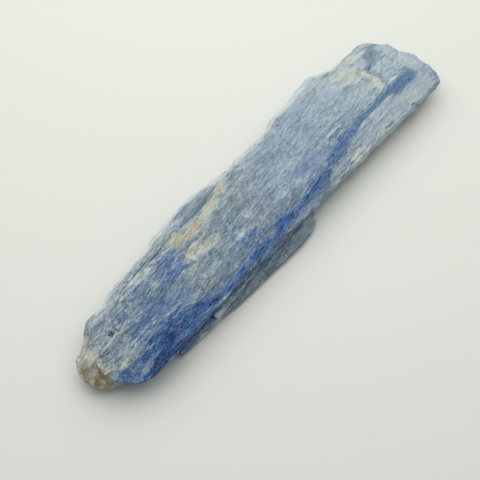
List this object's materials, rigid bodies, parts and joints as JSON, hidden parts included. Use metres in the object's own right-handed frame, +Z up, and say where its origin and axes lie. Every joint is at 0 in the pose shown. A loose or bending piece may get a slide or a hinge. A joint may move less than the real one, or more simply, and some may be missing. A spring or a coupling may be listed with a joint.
{
  "type": "kyanite blade cluster",
  "caption": "Slender cluster of intergrown parallel kyanite blades, grey-blue with deep blue streaks and tan mica patches, lying on its flattest cleavage face.",
  "frame": {"origin": "middle of the cluster's bounding box in plan, on the surface that it lies on", "axes": "+X along the blades, from the stained near end to the broken far end; +Z up, away from the flat cleavage face it lies on; -Y the long edge that faces the viewer in the picture"},
  "size_m": [0.0748, 0.0174, 0.0058],
  "materials": {
    "kyanite": "satin, fibrous cleavage faces with a pearly sheen, grey-blue with deep blue streaks and tan mica"
  },
  "bodies": {
    "root": {"kyanite_blades": "kyanite"}
  },
  "joints": []
}
